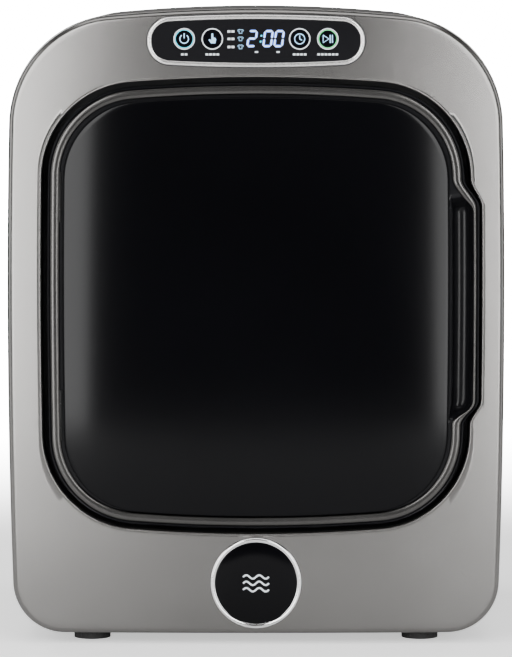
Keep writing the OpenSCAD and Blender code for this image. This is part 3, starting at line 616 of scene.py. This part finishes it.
# Distance out from the window's outline, and y from the front
BEZEL_PROFILE = [
    (4.6, 1.6), (4.5, -0.6), (4.2, -1.3), (3.5, -1.8), (2.2, -1.9),
    (1.0, -1.7), (0.35, -1.2), (0.1, -0.4), (0.1, 3.0),
]
GROOVE_PROFILE = [(5.4, 0.3), (5.3, -0.12), (4.4, -0.12)]
# Radius, and depth below the face of a key
KEY_PROFILE = [
    (10.6, 3.0), (10.95, 0.8), (10.8, 0.25), (10.3, 0.0), (8.0, 0.05), (4.0, 0.12), (0.05, 0.15),
]
# A hand with one finger up
HAND = [
    (-1.0, 6.0), (0.0, 6.6), (1.0, 6.0), (1.1, 1.8), (4.0, 1.0), (4.4, -0.4),
    (3.6, -5.2), (-1.6, -5.2), (-4.2, -1.4), (-3.6, -0.4), (-2.4, -0.8), (-1.1, -2.0),
]


def build_window():
    """The window's bezel and groove, and the four keys with their pale rings."""
    loops = [at(lens_outline(d), FRONT_Y + y) for d, y in BEZEL_PROFILE]
    loft("window_bezel", loops, [TRIM], "base", slot="satin_trim", replaces=("control_bezel",),
         sharp_deg=60)
    loops = [at(lens_outline(d), FRONT_Y + y) for d, y in GROOVE_PROFILE]
    loft("window_groove", loops, [DARK], "base", slot="gloss_black")
    for node_name, x in KEYS.items():
        body = KEY_BODY[node_name]
        y = KEY_FACE[node_name]
        profile = [(r, y + deep) for r, deep in KEY_PROFILE]
        spin(node_name + "_cap", profile, x, KEY_Z, [LENS], body, cap=True, slot="key_black",
             replaces=(node_name,))
        mark(node_name + "_ring", [ring_shape(x, KEY_Z, 10.1, 1.1)], y - MARK_LIFT, PALE_MARK_WITH_GLOW, body)


def key_mark(name, key_node, shapes, mat):
    """A mark on the face of a key."""
    mark(name, shapes, KEY_FACE[key_node] - MARK_LIFT, mat, KEY_BODY[key_node])


def build_icons():
    """The lit halos and icons of the four keys."""
    x = KEYS["key_power"]
    key_mark("power_halo", "key_power", [ring_shape(x, KEY_Z, HALO_R, HALO_WIDTH)], LIT_CYAN)
    bow = ring_shape(x, KEY_Z, 4.3, 1.0, 125, 415, 40)
    stem = line_shape([(x, KEY_Z + 0.6), (x, KEY_Z + 5.6)], 1.1)
    key_mark("power_icon", "key_power", [bow, stem], LIT_ICON)
    x = KEYS["key_course"]
    hand = poly_shape([(x + ICON_SCALE * a, KEY_Z + ICON_SCALE * b) for a, b in HAND])
    key_mark("course_icon", "key_course", [hand], LIT_ICON)
    x = KEYS["key_time"]
    dial = ring_shape(x, KEY_Z, 5.0, 0.9)
    long_hand = line_shape([(x, KEY_Z + 3.4), (x, KEY_Z)], 0.9)
    short_hand = line_shape([(x - 0.3, KEY_Z + 0.1), (x + 2.4, KEY_Z - 1.2)], 0.9)
    key_mark("time_icon", "key_time", [dial, long_hand, short_hand], LIT_ICON)
    x = KEYS["key_start"]
    key_mark("start_halo", "key_start", [ring_shape(x, KEY_Z, HALO_R, HALO_WIDTH)], LIT_GREEN)
    points = [(x - 4.6, KEY_Z + 3.8), (x + 1.2, KEY_Z), (x - 4.6, KEY_Z - 3.8), (x - 4.6, KEY_Z + 3.6)]
    play = line_shape(points, 0.9)
    bars = [line_shape([(x + side, KEY_Z + 4.0), (x + side, KEY_Z - 4.0)], 1.0) for side in (2.4, 4.6)]
    key_mark("start_icon", "key_start", [play, *bars], LIT_ICON)


# Segments of a digit as ends on a grid one wide and two high
SEGMENTS = {"a": ((0, 2), (1, 2)), "b": ((1, 2), (1, 1)), "c": ((1, 1), (1, 0)), "d": ((0, 0), (1, 0)),
            "e": ((0, 1), (0, 0)), "f": ((0, 2), (0, 1)), "g": ((0, 1), (1, 1))}
DIGITS = {"2": "abged", "0": "abcdef"}
# The digits shown and the x of their left edges
SHOWN = (("2", -8.6), ("0", 7.2), ("0", 18.2))
DIGIT_W = 7.6
DIGIT_H = 15.0
DIGIT_LOW = KEY_Z - 7.2
SLANT = 0.13
SEGMENT_GAP = 0.35
# One dot of the colon, and the heights of both
DOT = ((0, 0), (1.7, 0), (1.9, 1.8), (0.2, 1.8))
DOT_RISES = (3.6, 9.4)
# Outline of a shirt, and where the mode marks stand
SHIRT = [
    (-1.6, -2.2), (1.6, -2.2), (1.6, 0.6), (2.6, 0.0), (3.3, 1.2), (1.4, 2.5),
    (0.6, 2.0), (-0.6, 2.0), (-1.4, 2.5), (-3.3, 1.2), (-2.6, 0.0), (-1.6, 0.6),
]
SHIRT_X = -15.4
ROW_X = -28.4
ROW_STEP = 3.9
ROW_LENGTH = 3.0
# Blank bars under each key, where the lettering of the real window would be
LABEL_BARS = {"key_power": 2, "key_course": 4, "key_time": 4, "key_start": 6}
LABEL_Z = KEY_Z - 15.4
UNIT_Z = KEY_Z - 13.0
BAR_STEP = 3.6


def digit_shapes(stroke):
    """The slanted segments of all the digits shown."""
    shapes = []
    for char, x in SHOWN:
        for key in DIGITS[char]:
            (ax, az), (bx, bz) = SEGMENTS[key]
            a = np.array([ax * DIGIT_W, az * DIGIT_H / 2])
            b = np.array([bx * DIGIT_W, bz * DIGIT_H / 2])
            u = (b - a) / np.linalg.norm(b - a)
            side = np.array([-u[1], u[0]]) * stroke / 2
            a, b = a + u * SEGMENT_GAP, b - u * SEGMENT_GAP
            tip = u * stroke / 2
            pts = [a, a + tip + side, b - tip + side, b, b - tip - side, a + tip - side]
            shapes.append(poly_shape([(x + p[0] + SLANT * p[1], DIGIT_LOW + p[1]) for p in pts]))
    return shapes


def build_display():
    """The lit time with its colon, the mode marks to its left, and blank bars for the lettering."""
    y = LENS_Y - 0.12
    mark("time_digits", digit_shapes(2.3), y, LIT_DIGIT, "base", slot="gloss_black")
    mark("time_digit_cores", digit_shapes(0.8), y - 0.06, LIT_CORE, "base", slot="gloss_black", thick=0.05)
    dots = []
    for rise in DOT_RISES:
        dots.append(poly_shape([(3.2 + rise * SLANT + a, DIGIT_LOW + rise + b) for a, b in DOT]))
    mark("time_colon", dots, y, LIT_CYAN, "base", slot="gloss_black")
    rows, shirts = [], []
    for z in (KEY_Z + 7.4, KEY_Z, KEY_Z - 8.0):
        for k in range(2):
            x = ROW_X + ROW_STEP * k
            rows.append(line_shape([(x, z), (x + ROW_LENGTH, z)], 2.2))
        shirt = [(SHIRT_X + ICON_SCALE * a, z + ICON_SCALE * b) for a, b in SHIRT]
        shirts.append(flat_ribbon(shirt, 0.5, True))
    mark("mode_rows", rows, y, PALE_MARK_WITH_GLOW, "base", slot="gloss_black")
    mark("mode_shirts", shirts, y, LIT_ICON, "base", slot="gloss_black")
    labels = []
    for key_node, n in LABEL_BARS.items():
        for k in range(n):
            x = KEYS[key_node] + (k - (n - 1) / 2) * BAR_STEP
            labels.append(line_shape([(x - 1.3, LABEL_Z), (x + 1.3, LABEL_Z)], 2.0))
    for x in (0.5, 22.0):
        labels.append(line_shape([(x - 1.6, UNIT_Z), (x + 1.6, UNIT_Z)], 1.6))
    mark("blank_labels", labels, y, PALE_MARK_WITH_GLOW, "base", slot="gloss_black")


# Radius beyond the badge's own, and y from the front
BADGE_PROFILE = [
    (0.5, 0.6), (0.0, -0.5), (-0.5, -1.5), (-1.4, -2.1),
    (-2.4, -2.2), (-3.6, -1.8), (-4.4, -1.1), (-4.6, -0.2),
]
WAVE_HALF = 13
WAVE_STEP = 6.5
HALF_PERIOD = 6.5
WAVE_RISE = 1.8
WAVE_WIDTH = 1.7


def build_badge():
    """A bright rim, a black face and three plain waves."""
    z = (badge_lo[2] + badge_hi[2]) / 2
    r = (badge_hi[0] - badge_lo[0]) / 2
    y = FRONT_Y
    profile = [(r + dr, y + dy) for dr, dy in BADGE_PROFILE]
    spin("badge_rim", profile, 0, z, [CHROME], "base", slot="bright_trim", replaces=("badge_ring",))
    face = [
        (r - 4.4, y + 0.2), (r - 4.6, y - 1.0), (r - 6.0, y - 1.25), (r * 0.5, y - 1.6), (0.05, y - 1.75),
    ]
    spin("badge_face", face, 0, z, [GLASS], "base", cap=True, slot="gloss_black", replaces=("badge_disc",))
    x = np.linspace(-WAVE_HALF, WAVE_HALF, 40)
    waves = []
    for k in (-1, 0, 1):
        wave = z + WAVE_STEP * k + WAVE_RISE * np.sin(x * math.pi / HALF_PERIOD)
        waves.append(flat_ribbon(np.stack([x, wave], 1), WAVE_WIDTH))
    mark("badge_mark", waves, y - 1.9, PALE_MARK_WITH_GLOW, "base", slot="bright_trim")


build_window()
build_icons()
build_display()
build_badge()


# ---- Floor, lights and camera ----
FLOOR_R = 2.6
FLOOR_SIDES = 96
FADE_FROM = 0.6
FADE_TO = 2.4
FADE_LEAST = 0.03
WHITE_STRENGTH = 25.0
WORLD_STRENGTH = 0.06


def build_stage():
    """A round pale floor that fades to white towards its rim, as the camera sees it."""
    pale = surface("stage_white", (0.86, 0.86, 0.86), 0.0, 0.6, grain=40, vary=0.01)
    tree = pale.node_tree
    node, link = tree.nodes, tree.links
    place = node.new("ShaderNodeTexCoord")
    length = node.new("ShaderNodeVectorMath")
    length.operation = "LENGTH"
    link.new(place.outputs["Object"], length.inputs[0])
    fade = node.new("ShaderNodeMapRange")
    fade.interpolation_type = "SMOOTHSTEP"
    fade.inputs["From Min"].default_value = FADE_FROM
    fade.inputs["From Max"].default_value = FADE_TO
    fade.inputs["To Min"].default_value = FADE_LEAST
    link.new(length.outputs["Value"], fade.inputs["Value"])
    path = node.new("ShaderNodeLightPath")
    share = node.new("ShaderNodeMath")
    share.operation = "MULTIPLY"
    link.new(fade.outputs["Result"], share.inputs[0])
    link.new(path.outputs["Is Camera Ray"], share.inputs[1])
    white = node.new("ShaderNodeEmission")
    white.inputs["Strength"].default_value = WHITE_STRENGTH
    mix = node.new("ShaderNodeMixShader")
    link.new(share.outputs["Value"], mix.inputs["Fac"])
    link.new(node["Principled BSDF"].outputs["BSDF"], mix.inputs[1])
    link.new(white.outputs["Emission"], mix.inputs[2])
    link.new(mix.outputs["Shader"], node["Material Output"].inputs["Surface"])
    mesh = bpy.data.meshes.new("floor")
    turns = np.linspace(0, 2 * math.pi, FLOOR_SIDES, endpoint=False)
    rim = [(FLOOR_R * math.cos(a), FLOOR_R * math.sin(a), 0.0) for a in turns]
    mesh.from_pydata(rim, [], [tuple(range(FLOOR_SIDES))])
    finish_object("floor", mesh, [pale])


def area_light(name, place, target, size, power):
    """A white rectangular light, sized in metres, aimed at a point."""
    light = bpy.data.lights.new(name, "AREA")
    light.shape = "RECTANGLE"
    light.size, light.size_y = size
    light.energy = power
    light.color = (1, 1, 1)
    obj = bpy.data.objects.new(name, light)
    bpy.context.scene.collection.objects.link(obj)
    obj.location = place
    obj.rotation_euler = (Vector(target) - Vector(place)).to_track_quat("-Z", "Y").to_euler()


def build_lights():
    """A dim white world that the camera sees as bright white, and seven area lights."""
    world = bpy.data.worlds.new("studio")
    bpy.context.scene.world = world
    world.use_nodes = True
    node, link = world.node_tree.nodes, world.node_tree.links
    node["Background"].inputs["Color"].default_value = (1, 1, 1, 1)
    path = node.new("ShaderNodeLightPath")
    strength = node.new("ShaderNodeMapRange")
    strength.inputs["To Min"].default_value = WORLD_STRENGTH
    strength.inputs["To Max"].default_value = WHITE_STRENGTH
    link.new(path.outputs["Is Camera Ray"], strength.inputs["Value"])
    link.new(strength.outputs["Result"], node["Background"].inputs["Strength"])
    middle = (0, 0, 0.33)
    front = (0, -0.2, 0.33)
    area_light("left_strip", (-0.62, -1.7, 0.62), front, (0.34, 1.7), 29)
    area_light("right_strip", (0.66, -1.7, 0.62), front, (0.30, 1.7), 25)
    area_light("left_softbox", (-2.3, -0.9, 1.0), middle, (1.2, 2.0), 30)
    area_light("right_softbox", (2.4, -0.8, 0.9), middle, (1.2, 2.0), 22)
    area_light("top_softbox", (0, -0.2, 2.4), middle, (2.2, 1.6), 42)
    area_light("back_left", (-1.5, 2.2, 1.5), middle, (1.4, 1.4), 42)
    area_light("back_right", (1.8, 2.0, 1.2), middle, (1.2, 1.6), 26)


LENS_MM = 219.5
SENSOR_MM = 36.0
CAMERA_AWAY = 4.0
CAMERA_Z = 0.672
LOOK_AT_Z = 0.3198


def build_camera():
    """A long lens from straight in front, a little above the middle and tilted down."""
    camera = bpy.data.cameras.new("camera")
    camera.lens = LENS_MM
    camera.sensor_width = SENSOR_MM
    obj = bpy.data.objects.new("camera", camera)
    bpy.context.scene.collection.objects.link(obj)
    front = FRONT_Y * MM
    place = Vector((0, front - CAMERA_AWAY, CAMERA_Z))
    target = Vector((0, front, LOOK_AT_Z))
    obj.location = place
    obj.rotation_euler = (target - place).to_track_quat("-Z", "Y").to_euler()
    bpy.context.scene.camera = obj


build_stage()
build_lights()
build_camera()
